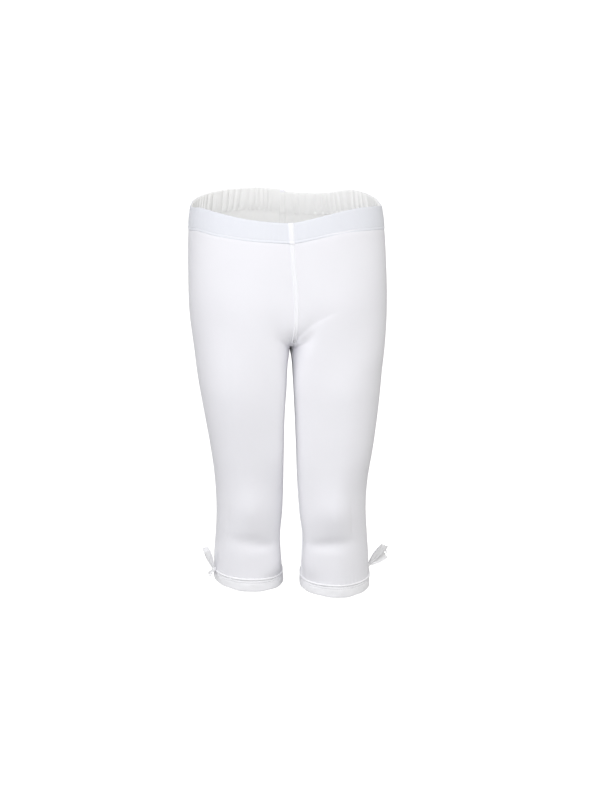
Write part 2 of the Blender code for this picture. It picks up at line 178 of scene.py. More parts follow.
LEGS = {
    "right": [
        Leg(120, 0.2, 123.7, 82, 92),
        Leg(CROTCH_DROP, 0.2, 119.6, 76.5, 80),
        Leg(190, 3.6, 118.2, 74.5, 77),
        Leg(218, 5.6, 115.0, 70.5, 70),
        Leg(250, 7.8, 110.0, 65.5, 64),
        Leg(300, 9.0, 101.2, 58, 55),
        Leg(350, 9.0, 95.0, 52, 47),
        Leg(KNEE_DROP, 10.2, 93.7, 48, 44),
        Leg(418, 13.0, 95.0, 45, 47),
        Leg(445, 12.4, 97.2, 43, 50),
        Leg(500, 7.6, 98.4, 44, 51),
    ],
    "left": [
        Leg(120, 0.2, 123.9, 82.5, 92),
        Leg(CROTCH_DROP, 0.2, 121.1, 77.5, 80),
        Leg(190, 3.4, 119.8, 76, 76),
        Leg(218, 5.2, 117.0, 74, 68),
        Leg(250, 6.8, 113.4, 72, 59),
        Leg(300, 8.6, 107.0, 70.5, 45),
        Leg(350, 9.6, 99.2, 69, 33),
        Leg(KNEE_DROP, 11.4, 97.0, 67, 27),
        Leg(418, 15.4, 98.4, 63, 30),
        Leg(445, 14.6, 100.2, 61, 33),
        Leg(500, 10.6, 101.8, 62, 34),
    ],
}

RIM = [
    Rim(0, -11.5, -11.5),
    Rim(18, -3.0, -8.0),
    Rim(40, 3.5, -1.5),
    Rim(60, 3.5, 3.0),
    Rim(90, 0.5, 1.0),
    Rim(112, 7.5, 6.5),
    Rim(135, 11.5, 11.0),
    Rim(155, 6.5, 13.0),
    Rim(170, 6.0, 13.0),
    Rim(180, 8.0, 10.5),
]

# Sideways shift over the drop: of the whole garment, and of the front seam
LEAN = [(0, -0.8), (60, 0.0), (183, 2.5), (370, 2.5), (480, 3.5)]
SEAM_WANDER = [(10, 0.0), (60, 3.0), (95, 6.0), (125, 7.0), (160, 5.0), (183, 2.5)]
WANDER_WIDTH = 45
WANDER_DEPTH = 40

# Cross-sections, each a closed line of (share of the height, drop beyond it, lift, weight of the outer
# gathers or waves, weight of the inner ones)
BAND_PROFILE = [
    (0, -0.45, -0.9, 0.3, 0.3), (0, -0.1, 0, 0.5, 0), (0, 0.9, 0.5, 0.6, 0),
    (0.1, 0, 0.6, 0.85, 0), (0.4, 0, 0.65, 1, 0), (0.7, 0, 0.55, 1, 0),
    (1, -4.6, 0.5, 0.85, 0), (1, -3.5, 0.4, 0.75, 0), (1, -2.9, 0.2, 0.72, 0),
    (1, -2.3, 0.35, 0.7, 0), (1, -1.5, 0.5, 0.7, 0), (1, -0.8, 0.55, 0.7, 0),
    (1, -0.1, 0.4, 0.7, 0), (1, 0.25, 0, 0.7, 0), (1, 0.25, -0.8, 0.6, 0.2),
    (1, 0.2, -1.35, 0.3, 0.5), (1, -0.4, -1.65, 0, 0.7), (1, -2.0, -1.8, 0, 0.75),
    (1, -4.2, -2.05, 0, 0.8), (0.7, 0, -2.3, 0, 0.95), (0.3, 0, -2.3, 0, 1),
    (0.06, 0, -2.2, 0, 0.8), (0, 0.6, -2.0, 0, 0.6), (0, -0.15, -1.6, 0.1, 0.45),
]
HEM_PROFILE = [
    (0, -0.15, -0.6, 0, 0), (0, 0, 0.05, 0.2, 0), (0.04, 0, 0.9, 0.4, 0),
    (0.085, 0, 1.35, 0.5, 0), (0.13, 0, 1.1, 0.6, 0), (0.18, 0, 0.15, 0.9, 0),
    (0.205, 0, -0.15, 1, 0), (0.235, 0, 0.15, 1, 0), (0.29, 0, 0.42, 1, 0),
    (0.34, 0, 0.3, 1, 0), (0.375, 0, 0.08, 1, 0), (0.41, 0, 0.3, 1, 0),
    (0.5, 0, 0.52, 1, 0), (0.8, 0, 0.55, 1, 0), (0.94, 0, 0.5, 1, 0),
    (1, 0, 0.05, 1, 0), (1, 0.35, -0.6, 0.8, 0.2), (1, 0, -1.3, 0.3, 0.6),
    (0.92, 0, -1.6, 0, 1), (0.6, 0, -1.55, 0, 1), (0.25, 0, -1.5, 0, 1),
    (0.06, 0, -1.6, 0, 0.6), (0, -0.1, -1.3, 0, 0.3),
]

# How a rise seam starts inside the rim and goes over it, as (drop below the rim, lift)
OVER_RIM = [(2.5, -2.35), (0.7, -2.2), (-0.35, -1.5), (-0.45, -0.7), (0.2, 0.25), (1.6, 0.55)]

OUTER_GATHERS = Gathers(1.9, 0.4, 0.0)
INNER_GATHERS = Gathers(2.5, 0.33, 2.1)
FOLD_PITCH = 8.6
FINE_FOLD_PITCH = 3.7
GATHER_RUN_OUT = 9
BELOW_BAND_SHARE = 0.7
STITCH_DIP = 0.45
STITCH_DIP_REACH = 3
PUCKER_DEPTH = 0.16
PUCKER_REACH = 7
SLOW_WAVE = 0.16

CREASES = [
    Crease("left", 4.5, 163, 57, 121, -5.5, 9.0, 1.3, 0.2),
    Crease("right", -2.5, 172, -4.5, 146, 0.0, 5.0, 0.5, 0.3),
    Crease("right", -76, 372, -77, 405, 0.0, 4.0, 0.4, 0.1),
    Crease("left", 76, 366, 79, 420, 0.0, 6.0, 0.4, 0.4),
]
SWELLS = [
    Swell("left", 14, 168, 11, 10, 1.5),
    Swell("left", 38, 424, 18, 7, -1.7),
    Swell("right", -34, 429, 15, 7, -2.5),
    Swell("left", 62, 452, 34, 14, 0.5),
    Swell("right", -58, 448, 34, 14, 0.5),
]

# The swell of each knee and the trough under it, with x from the knee's middle
KNEE_SWELLS = [Swell("both", 0, KNEE_DROP - 4, 24, 24, 4.6), Swell("both", 0, KNEE_DROP + 38, 26, 10, -3.1)]

# Heights over the drop: of the broad rise down the front of each thigh, and of the hollow along the front
# seam, with their reach sideways
THIGH_RISE = [(25, 1.0), (45, 0.2), (80, -0.4), (120, 1.2), (160, 3.0), (210, 3.4), (330, 0.0)]
THIGH_MIDDLE = 62
THIGH_REACH = 40
SEAM_HOLLOW = [(25, 0.0), (60, -1.6), (100, -3.0), (140, -3.2), (172, -1.0), (180, 0.0)]
HOLLOW_REACH = 30

# Bows: a ribbon's path as (share of the length, share of the swell, share of the width)
RIBBON_SHAPES = {
    "loop": [
        (0, 0.3, 0.3), (0.2, 0.75, 0.62), (0.5, 1, 0.95), (0.82, 0.85, 1), (1, 0, 1),
        (0.82, -0.85, 1), (0.5, -1, 0.95), (0.2, -0.75, 0.62), (0, -0.3, 0.3),
    ],
    "tail": [(0, 0, 0.4), (0.35, 0.3, 0.85), (0.7, 0.4, 1), (1, 0, 1)],
    "curl": [
        (0, 0, 0.6), (0.3, -0.3, 1), (0.6, -0.45, 1), (0.85, -0.1, 1),
        (0.97, 0.5, 1), (0.98, 1.15, 0.9), (0.9, 1.7, 0.7),
    ],
}
RIBBON_SAMPLES = {"loop": 90, "tail": 48, "curl": 48}
BOWS = {
    "right": [
        Ribbon("loop_front", "loop", 0.28, 0.3, 0.92, 26.5, 8, 0.6, 86, 0.3, 0),
        Ribbon("loop_back", "loop", 0.38, -0.38, 0.92, 26.5, 8, 0.6, 84, 0.3, 0),
        Ribbon("tail_front", "tail", 0.45, 0.3, -0.62, 7, 4.5, 0.8, 0, 0, 0.3),
        Ribbon("tail_back", "tail", 0.45, -0.55, -0.6, 10, 4.5, 1.5, 0, 0, 0.3),
    ],
    "left": [
        Ribbon("loop_front", "loop", 0.65, 0.24, 0.9, 32.5, 12, 1.0, 87, 0.7, 0),
        Ribbon("loop_back", "loop", 0.88, -0.42, 0.4, 25, 11.5, 1.0, 88, 0.6, 0),
        Ribbon("tail_front", "tail", 0.05, 0.4, -0.9, 11, 4, 0.6, 0, 0, 0.3),
        Ribbon("tail_back", "curl", 1.02, -1.62, 0.5, 39.5, 4, 5.0, 0, 0, 0.2),
    ],
}
KNOT_RADII = (2.8, 3.4, 4.2)
KNOT_SIZE = 0.8
BOW_TURN = {"left": 0.5, "right": 0.455}
BOW_RISE = {"left": 5, "right": 1}
BOW_STAND = {"left": 0.1, "right": 0.8}
PLEATS = 2.5
PLEAT_DEPTH = 0.5
PLEAT_REACH = 14
CRUSH_DEPTH = 0.22

# Camera, floor and lights
CAMERA_TURN = math.radians(-3.5)
CAMERA_DISTANCE = 2.4
CAMERA_HEIGHT = 0.3065
AIM_HEIGHT = -0.2385
AIM_RIGHT = 0.0165
AIM_DOWN = 0.0089
LENS = 87.2
FLOOR_DROP = 0.26
FLOOR_HALF = 400.0
FLOOR_BOUNCE = (0.4, 0.4, 0.4)
WHITE = (1.0, 1.0, 1.0)
WORLD_LIGHT = 0.51
Lamp = namedtuple("Lamp", "name place aim size power colour")
LAMPS = [
    Lamp("key", (-0.2, -1.6, 0.6), (0, 0, -0.15), 0.8, 17.4, (0.99, 0.99, 1.0)),
    Lamp("left_side", (-2.4, -0.88, 0.23), (0, 0, -0.22), 1.6, 13.4, WHITE),
    Lamp("right_side", (2.4, -0.88, 0.23), (0, 0, -0.22), 1.6, 12.8, (1.0, 0.98, 0.91)),
    Lamp("behind", (-0.5, 2.4, 0.7), (0, 0, -0.22), 1.6, 12.0, WHITE),
]


# --- Curves


def smooth_curve(x, points):
    """Value at x of a smooth curve through (x, y) points: cubic pieces whose slopes are those between the
    neighbouring points, held level beyond both ends."""
    xs, ys = np.array(points, float).T
    slopes = np.gradient(ys, xs)
    x = np.clip(x, xs[0], xs[-1])
    i = np.clip(np.searchsorted(xs, x) - 1, 0, len(xs) - 2)
    step = xs[i + 1] - xs[i]
    t = (x - xs[i]) / step
    sway = step * t * (1 - t) * ((1 - t) * slopes[i] - t * slopes[i + 1])
    return mix(ys[i], ys[i + 1], ease(t)) + sway


def smooth_columns(rows, samples, closed=False):
    """The columns of a table drawn out to more rows, each as a smooth curve over the row's number."""
    rows = np.array(rows, float)
    if closed:
        rows = np.concatenate([rows[-1:], rows, rows[:2]])
    numbers = np.arange(len(rows)) - int(closed)
    place = np.linspace(0, len(rows) - 1 - 2 * closed, samples, endpoint=not closed)
    return np.stack([smooth_curve(place, list(zip(numbers, column))) for column in rows.T])[..., None]


def table_value(table, column, drop):
    """A named column of a table of sections, at any drop."""
    return smooth_curve(drop, [(row.drop, getattr(row, column)) for row in table])


def ease(t):
    """A smooth step from 0 at 0 to 1 at 1."""
    t = np.clip(t, 0, 1)
    return t * t * (3 - 2 * t)


def rising(value, bounds):
    """A smooth step from 0 at the first bound to 1 at the second."""
    return ease((value - bounds[0]) / (bounds[1] - bounds[0]))


def bell(t):
    """A bell curve, 1 at 0 and next to nothing beyond 2."""
    return np.exp(-(t**2))


def mix(first, second, share):
    """The first value at a share of 0, the second at 1, in a straight line."""
    return first + (second - first) * share


def waves(along, *rows):
    """Sum of sine waves along a line. Each has a height, a length over 2 pi and a phase at the start."""
    return sum(height * np.sin(along / length + phase) for height, length, phase in rows)


def unit(vectors):
    """Vectors over their lengths."""
    return vectors / np.linalg.norm(vectors, axis=-1, keepdims=True)


def run_length(points):
    """Distance from the first point of a line, or of each row of a grid, to every point of it."""
    steps = np.linalg.norm(np.diff(points, axis=-2), axis=-1)
    return np.concatenate([np.zeros_like(steps[..., :1]), np.cumsum(steps, axis=-1)], axis=-1)


# --- The garment's surfaces


def waist_share(u):
    """Share of the way round the waist from front to back, in which a piece's edges, which become the leg's
    inner side, lie crowded beside the seams."""
    edge = np.minimum(u, 1 - u)
    crowded = edge * (1 - EDGE_CROWDING * bell(edge / CROWDING_REACH))
    return np.where(u < 0.5, crowded, 1 - crowded)


def torso_point(u, drop):
    """Half of a rounded-square oval: x is 0 at both ends, y goes from the front to the back."""
    angle = np.pi * waist_share(u)
    power = 2 / mix(RIM_SQUARENESS, HIP_SQUARENESS, bell((drop - HIP_DROP) / HIP_REACH))
    across = np.abs(np.sin(angle)) ** power
    along = np.sign(np.cos(angle)) * np.abs(np.cos(angle)) ** power
    half_width, front, back = (table_value(TORSO, column, drop) for column in Torso._fields[1:])
    return half_width * across, -np.where(along > 0, front, back) * along


def leg_point(side, u, drop):
    """A whole rounded-square oval: from the inner side, round the front, the outer side and the back, to the
    inner side. Its inner front is squarer than the rest down to the hem, and slants back over the shin, where
    the outer front is rounder. The thigh is turned, so that x shifts with the distance from its middle."""
    angle = 2 * np.pi * u + math.radians(INSEAM_FORWARD[side]) * rising(drop, INSEAM_DROPS)
    inwards, forwards = np.cos(angle), np.sin(angle)
    inner, outer, front, back = (table_value(LEGS[side], column, drop) for column in Leg._fields[1:])
    shin, hem = rising(drop, SHIN_DROPS), rising(drop, HEM_ROUND_DROPS)
    inner_front = mix(THIGH_SQUARENESS[side], INNER_SQUARENESS[side], rising(drop, THIGH_DROPS))
    inner_front = mix(inner_front, HEM_SQUARENESS, hem)
    outer_front = mix(LEG_SQUARENESS, OUTER_SQUARENESS[side], shin)
    front_half = np.where(inwards > 0, inner_front, outer_front)
    squareness = np.where(forwards > 0, front_half, LEG_SQUARENESS)
    reach = (np.abs(inwards) ** squareness + np.abs(forwards) ** squareness) ** (-1 / squareness)
    x = (inner + outer) / 2 - (outer - inner) / 2 * reach * inwards
    slant = INNER_SLANT[side] * shin * (1 - hem) * np.clip(reach * inwards, 0, 1) ** 2 * (forwards > 0)
    middle = (back - front) / 2
    y = middle - (back + front) / 2 * reach * forwards * (1 - slant)
    turned = rising(drop, THIGH_TURN_IN) * (1 - rising(drop, THIGH_TURN_OUT))
    return x + THIGH_TURN[side] * turned * (y - middle), y


def swell_height(swell, x, drop):
    """Height of a swell at a place: a bell across times a bell down."""
    return swell.height * bell((x - swell.x) / swell.reach_x) * bell((drop - swell.drop) / swell.reach_drop)


def knee_bump(side, x, y, drop):
    """Forward swell of the cloth over the knee and the trough under it, which leave out the leg's back."""
    middle = (table_value(LEGS[side], "inner", KNEE_DROP) + table_value(LEGS[side], "outer", KNEE_DROP)) / 2
    facing = rising(table_value(LEGS[side], "back", drop) - y, KNEE_FACING)
    return sum(swell_height(swell, x - middle, drop) for swell in KNEE_SWELLS) * facing


def turn_corner(fall):
    """The rounded corner by which a piece's edge turns under at the crotch: 1 - (1 - f^n)^(1/n)."""
    return 1 - (1 - np.clip(fall, 0, 1) ** TURN_SQUARENESS) ** (1 / TURN_SQUARENESS)


def turn_sum(fall):
    """Area under the rounded corner from 0 to fall, where the corner is level before 0 and after 1."""
    falls = np.linspace(0, 1, 801)
    heights = turn_corner(falls)
    areas = np.concatenate([[0], np.cumsum((heights[1:] + heights[:-1]) / 2) / 800])
    return np.interp(fall, falls, areas) + np.clip(fall - 1, 0, None)


def turn_falls(count):
    """Falls from 0 to 1 at even distances round the rounded corner."""
    falls = np.sin(np.linspace(0, math.pi / 2, 4001))
    depth = table_value(TORSO, "front", CROTCH_DROP)
    length = run_length(np.stack([falls * (CROTCH_DROP - SPLIT_DROP), turn_corner(falls) * depth], axis=-1))
    return np.interp(np.linspace(0, length[-1], count), length, falls)


def leg_share(u, drop):
    """How far a point has turned from the body's section (0) to the leg's (1). A piece's edges follow the
    rounded corner into the crotch, averaged over a height that grows away from the edge, so that only the
    edge has a fold there. The rest of the piece turns slowly over a greater height."""
    fall = (drop - SPLIT_DROP) / (CROTCH_DROP - SPLIT_DROP)
    away = np.abs(np.minimum(u, 1 - u))
    blur = FOLD_BLUR + BLUR_GROWTH * away
    edge = (turn_sum(fall + blur) - turn_sum(fall - blur)) / (2 * blur)
    return mix(rising(drop, TURN_DROPS), edge, np.exp(-((away / EDGE_REACH) ** 4)))


def sideways(x, y, drop):
    """Sideways shift of a point: the garment's lean, and near the centre front the seam's own wander."""
    near_seam = bell(x / WANDER_WIDTH) * ease(-y / WANDER_DEPTH)
    return mix(smooth_curve(drop, LEAN), smooth_curve(drop, SEAM_WANDER), near_seam)


def cloth_point(side, u, drop):
    """Point of the outer face of a leg piece, with the sideways lean of the garment: the body's section and
    the leg's section mixed by the leg's share."""
    u, drop = np.broadcast_arrays(np.asarray(u, float), np.asarray(drop, float))
    share = leg_share(u, drop)
    x, y = (mix(torso, leg, share) for torso, leg in zip(torso_point(u, drop), leg_point(side, u, drop)))
    y = y - knee_bump(side, x, y, drop)
    x = SIDES[side] * np.maximum(x, SEAM_GAP / 2)
    return np.stack([x + sideways(x, y, drop), y, -drop], axis=-1)


def cloth_normal(side, u, drop):
    """Outward normal of a leg piece: the cross product of a short step down and a short step round, which
    stays within the piece's edges above the crotch."""
    whole_leg = drop > CROTCH_DROP
    before = np.where(whole_leg, u - 0.003, np.maximum(u - 0.003, 0))
    after = np.where(whole_leg, u + 0.003, np.minimum(u + 0.003, 1))
    round_it = cloth_point(side, after, drop) - cloth_point(side, before, drop)
    down = cloth_point(side, u, drop + 0.5) - cloth_point(side, u, drop - 0.5)
    return unit(np.cross(down, round_it)) * SIDES[side]


def lifted_point(side, u, drop, lift):
    """Point of a leg piece moved out along its normal."""
    return cloth_point(side, u, drop) + cloth_normal(side, u, drop) * np.asarray(lift)[..., None]


def rim_height(side, u):
    """Height of the waist rim, by the angle round the waist."""
    return smooth_curve(180 * waist_share(u), [(row.angle, getattr(row, side)) for row in RIM])


def band_bottom_drop(side, u):
    """The waistband's lower edge, nearer to the rim at the centre front."""
    return mix(*BAND_HEIGHTS, ease(waist_share(u) / BAND_WIDENING)) - rim_height(side, u)


def hem_top_drop(side, u):
    """The hem's upper edge dips at the front and is a little lower on one side of the leg."""
    turn = 2 * np.pi * u
    return HEM_TOP_DROP[side] + HEM_TILT * np.sin(turn) - HEM_ROLL[side] * np.cos(turn)


def hem_height(u):
    """The hem grows from its lowest behind to its highest in front, as a sine of the way round."""
    return mix(*HEM_HEIGHTS, (1 + np.sin(2 * np.pi * u)) / 2)


def line_length(side, u, drop):
    """Distance round a leg piece from its front edge to u, along a level line at the drop."""
    dense = np.linspace(0, 1, 400)
    return np.interp(u, dense, run_length(cloth_point(side, dense, drop)))


# --- Gathers, puckers and creases


def folds(phase):
    """Folds with round crests and narrow valleys: |sine| to the power 0.7, less its mean."""
    return np.abs(np.sin(phase)) ** 0.7 - 0.62


def gathers(side, u, drop, kind):
    """Upright folds of the cloth over the elastic, as lifts, with finer folds on them. Slower waves move them
    apart and together and change their size. They are slight in front, full behind and none at the seams."""
    seed = SIDES[side] * 1.3 + kind.shift
    along = line_length(side, u, 15)
    share = waist_share(u)
    wander = waves(along, (1.5, 17, seed), (0.9, 7.3, 2.1 * seed))
    lean = drop * waves(along, (0.02, 9, 3 * seed))
    fine = folds(np.pi * along / FINE_FOLD_PITCH + waves(along, (1.8, 10.3, seed)) + 2 * lean)
    fine_size = 0.6 + waves(along, (0.4, 5.9, drop / 6 + seed))
    fold = folds(np.pi * along / FOLD_PITCH + wander + lean) + 0.3 * fine * fine_size
    size = 0.75 + waves(along, (0.35, 11.3, 1.7 * seed)) * waves(along, (1, 4.7, 0.9 * seed))
    seams = ease(share / 0.03) * ease((0.985 - share) / 0.02)
    return kind.depth * fold * size * seams * mix(0.1, 1, ease((share - kind.start) / 0.22))


def puckers(side, u, drop):
    """Small upright ripples of the cloth just above the hem's stitches, which die out upwards."""
    along = line_length(side, u, 460)
    ripple = waves(along, (PUCKER_DEPTH, 1.15, waves(along, (1.4, 7.1, SIDES[side]))))
    size = 0.6 + waves(along, (0.4, 13, 2 * SIDES[side]))
    return ripple * size * bell((hem_top_drop(side, u) - drop) / PUCKER_REACH)


def crease_lift(x, drop, crease):
    """A fold line, which fades in and out at its ends: before it the lift falls to -depth as an exponential
    over the width, and after it climbs to the shoulder over an eighth of the width and dies out over four."""
    across, down = crease.x_2 - crease.x_1, crease.drop_2 - crease.drop_1
    length = math.hypot(across, down)
    along = ((x - crease.x_1) * across + (drop - crease.drop_1) * down) / length**2
    away = ((drop - crease.drop_1) * across - (x - crease.x_1) * down) / length * math.copysign(1, across)
    away = away - crease.bend * 4 * np.clip(along * (1 - along), 0, 1)
    before = -crease.depth * np.exp(-np.abs(away) / crease.width)
    climb = crease.shoulder - (crease.shoulder + crease.depth) * np.exp(-np.abs(away) / (crease.width / 8))
    after = climb * np.exp(-np.abs(away) / (4 * crease.width))
    return np.where(away < 0, before, after) * ease((along + 0.15) / 0.4) * ease((1.2 - along) / 0.6)


def front_form(x, drop):
    """Broad form of the front, as lifts: a rise down each thigh, and a hollow along the seam."""
    thigh = smooth_curve(drop, THIGH_RISE) * bell((np.abs(x) - THIGH_MIDDLE) / THIGH_REACH)
    from_seam = x - smooth_curve(drop, SEAM_WANDER)
    return thigh + smooth_curve(drop, SEAM_HOLLOW) * bell(from_seam / HOLLOW_REACH)


def relief(side, u, drop):
    """The small forms of a leg piece, as lifts: the gathers running out below the waistband, the dip at its
    stitches, puckers above the hem, the form, creases and swells of the front, and slow waves all over."""
    x = cloth_point(side, u, drop)[..., 0]
    below_band = drop - band_bottom_drop(side, u)
    run_out = np.exp(-np.clip(below_band, 0, None) / GATHER_RUN_OUT)
    lifts = BELOW_BAND_SHARE * gathers(side, u, drop, OUTER_GATHERS) * run_out
    lifts = lifts - STITCH_DIP * ease(1 - below_band / STITCH_DIP_REACH) + puckers(side, u, drop)
    front = front_form(x, drop)
    front = front + sum(crease_lift(x, drop, crease) for crease in CREASES if crease.side == side)
    front = front + sum(swell_height(swell, x, drop) for swell in SWELLS if swell.side == side)
    seed = SIDES[side]
    slow = waves(drop, (SLOW_WAVE, 31, 5 * u + seed)) * waves(drop, (1, 57, 9 * u))
    slow = slow + waves(drop, (SLOW_WAVE / 2, 13, seed - 14 * u))
    return lifts + front * ease((0.5 - u) / 0.08) + slow * ease(np.minimum(u, 1 - u) / 0.05) * (1 - run_out)


# --- Materials


def fill(tree, node, inputs):
    """Gives a node's inputs their values, or links them where the value is another node's socket."""
    for label, value in inputs.items():
        if isinstance(value, bpy.types.NodeSocket):
            tree.links.new(value, node.inputs[label])
        else:
            node.inputs[label].default_value = value


def new_node(tree, kind, inputs, **settings):
    """A node with its settings and inputs, placed to the right of the nodes before it."""
    made = tree.nodes.new(kind)
    made.location = (200 * len(tree.nodes) - 3000, -200)
    for name, value in settings.items():
        setattr(made, name, value)
    fill(tree, made, inputs)
    return made


def math_node(tree, operation, *terms):
    """Arithmetic on one or two terms, each a socket or a number."""
    return new_node(tree, "ShaderNodeMath", dict(enumerate(terms)), operation=operation).outputs[0]


def node_group(name, inputs, outputs):
    """An effect that materials share, with numbers or vectors as its inputs and numbers as its outputs."""
    group = bpy.data.node_groups.new(name, "ShaderNodeTree")
    for label, value in inputs.items():
        kind = "NodeSocketVector" if isinstance(value, tuple) else "NodeSocketFloat"
        socket = group.interface.new_socket(name=label, in_out="INPUT", socket_type=kind)
        socket.default_value = value
    for label in outputs:
        group.interface.new_socket(name=label, in_out="OUTPUT", socket_type="NodeSocketFloat")
    return group, new_node(group, "NodeGroupInput", {}).outputs


def knit_group():
    """Plain knitting: upright ribs of V-shaped loops. Height is the rib's rounding times a wave along it
    that runs down both slopes of the V; Shade is painted shade, darker in the grooves between the ribs."""
    inputs = {"Cloth": (0, 0, 0), "Rib Width": 0.0009, "Loop Height": 0.0007}
    group, given = node_group("knit", inputs, ["Height", "Shade"])
    parts = new_node(group, "ShaderNodeSeparateXYZ", {0: given["Cloth"]}).outputs
    across = math_node(group, "DIVIDE", parts[0], given["Rib Width"])
    along = math_node(group, "DIVIDE", parts[1], given["Loop Height"])
    centred = math_node(group, "SUBTRACT", math_node(group, "FRACT", across), 0.5)
    slope = math_node(group, "ABSOLUTE", centred)
    falling = math_node(group, "MULTIPLY", math_node(group, "POWER", slope, 2.0), -3.4)
    rounding = math_node(group, "ADD", falling, 1.0)
    phase = math_node(group, "ADD", along, math_node(group, "MULTIPLY", slope, 1.5))
    wave = math_node(group, "SINE", math_node(group, "MULTIPLY", phase, 2 * math.pi))
    loops = math_node(group, "ADD", math_node(group, "MULTIPLY", wave, 0.22), 0.78)
    height = math_node(group, "MULTIPLY", rounding, loops)
    new_node(group, "NodeGroupOutput", {"Height": height, "Shade": rounding})
    return group


def tone_group():
    """Slow unevenness of a cloth's colour: coarse and fine noise, mixed, as a value round 0.5."""
    group, given = node_group("cloth_tone", {"Place": (0, 0, 0)}, ["Tone"])
    parts = []
    for scale, detail, weight in ((14.0, 2.0, 0.7), (308.0, 3.0, 0.3)):
        inputs = {"Vector": given["Place"], "Scale": scale, "Detail": detail}
        noise = new_node(group, "ShaderNodeTexNoise", inputs).outputs[0]
        parts.append(math_node(group, "MULTIPLY", noise, weight))
    new_node(group, "NodeGroupOutput", {"Tone": math_node(group, "ADD", *parts)})
    return group


KNIT = knit_group()
TONE = tone_group()


def cloth_material(name, dark, light, roughness, sheen, knit_size, bump, turned=False):
    """A knitted cloth: two near shades mixed by its tone and by the knit's painted shade between the ribs,
    soft sheen, and the knit as a bump. knit_size is (rib width, loop height), and turned lays the ribs
    across, as on the reverse."""
    made = bpy.data.materials.new(f"white_{name}")
    made.use_nodes = True
    tree = made.node_tree
    where = new_node(tree, "ShaderNodeTexCoord", {}).outputs
    source = where["UV"]
    if turned:
        turn = new_node(tree, "ShaderNodeMapping", {"Vector": source, "Rotation": (0, 0, math.pi / 2)})
        source = turn.outputs["Vector"]
    knit_inputs = {"Cloth": source, "Rib Width": knit_size[0], "Loop Height": knit_size[1]}
    knit = new_node(tree, "ShaderNodeGroup", knit_inputs, node_tree=KNIT).outputs
    tone = new_node(tree, "ShaderNodeGroup", {"Place": where["Object"]}, node_tree=TONE).outputs
    # painted shade: the knit's Shade darkens the colour in the grooves between the ribs
    painted_rib_shade = math_node(tree, "MULTIPLY", knit["Shade"], 0.45)
    share = math_node(tree, "ADD", painted_rib_shade, math_node(tree, "MULTIPLY", tone["Tone"], 0.75))
    shades = {"A": (*dark, 1), "B": (*light, 1), "Factor": share}
    colour = new_node(tree, "ShaderNodeMix", shades, data_type="RGBA").outputs["Result"]
    heights = {"Strength": bump, "Distance": 0.0002, "Height": knit["Height"]}
    normal = new_node(tree, "ShaderNodeBump", heights).outputs["Normal"]
    finish = {"Base Color": colour, "Normal": normal, "Roughness": roughness, "Specular IOR Level": 0.25}
    finish |= {"Sheen Weight": sheen, "Sheen Roughness": 0.5}
    fill(tree, tree.nodes["Principled BSDF"], finish)
    return made


# Looks of each finish: name, darker and lighter shade, roughness, sheen, size of the knit, strength of its
# bump, and True where the ribs lie across
RIBS = (0.0009, 0.0007)
TURNED_RIBS = (0.0007, 0.0009)
CLOTHS = {
    "jersey": ("jersey_cloth", (0.823, 0.82, 0.86), (0.883, 0.88, 0.92), 0.9, 0.25, RIBS, 0.35),
    # painted light: the jersey's reverse is lighter and more neutral than its face, to brighten the inside of
    # the waist, which lies in shade
    "inside": ("jersey_reverse", (0.89, 0.89, 0.885), (0.95, 0.95, 0.945), 0.92, 0.2, TURNED_RIBS, 0.4, True),
    "doubled": ("jersey_band", (0.75, 0.765, 0.82), (0.82, 0.835, 0.885), 0.9, 0.25, RIBS, 0.35),
    # painted light: the band's reverse is lighter and neutral, to brighten the shaded inside of the waist and
    # the back seam's allowance
    "band_inside": ("band_reverse", (0.87, 0.87, 0.87), (0.94, 0.94, 0.935), 0.92, 0.2, RIBS, 0.35),
    "hem": ("hem_cloth", (0.86, 0.86, 0.885), (0.92, 0.92, 0.945), 0.9, 0.25, RIBS, 0.35),
    "seam": ("seam_cloth", (0.89, 0.89, 0.93), (0.94, 0.94, 0.975), 0.88, 0.2, (0.0011, 0.0008), 0.5),
    "thread": ("thread", (0.86, 0.86, 0.89), (0.93, 0.93, 0.95), 0.6, 0.1, (0.0004, 0.0005), 0.5),
    "ribbon": ("satin_ribbon", (0.87, 0.87, 0.885), (0.94, 0.94, 0.955), 0.5, 0.1, (0.0003, 0.0004), 0.3),
}
MATERIALS = {finish: cloth_material(*looks) for finish, looks in CLOTHS.items()}


# --- Meshes


def scene_object(name, data):
    """A new object in the scene."""
    made = bpy.data.objects.new(name, data)
    bpy.context.scene.collection.objects.link(made)
    return made


def mesh_piece(name, points, faces, uvs, finishes, slot, nodes=()):
    """A piece from points and faces as rows of corner numbers. uvs has a pair in metres for each corner of
    each face, and nodes are the solids that the piece stands for."""
    data = bpy.data.meshes.new(name)
    corners = np.concatenate([part.reshape(-1) for part in faces])
    sizes = np.concatenate([np.full(len(part), part.shape[1]) for part in faces])
    data.vertices.add(len(points))
    data.vertices.foreach_set("co", (points * MM).reshape(-1))
    data.loops.add(len(corners))
    data.loops.foreach_set("vertex_index", corners)
    data.polygons.add(len(sizes))
    data.polygons.foreach_set("loop_start", np.concatenate([[0], np.cumsum(sizes)[:-1]]))
    layer = data.uv_layers.new(name="cloth")
    layer.data.foreach_set("uv", np.concatenate([part.reshape(-1) for part in uvs]))
    data.update(calc_edges=True)
    data.validate()
    data.shade_smooth()
    for finish in finishes:
        data.materials.append(MATERIALS[finish])
    piece = scene_object(name, data)
    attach(piece, "root")
    if nodes:
        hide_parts(*nodes)
    return piece


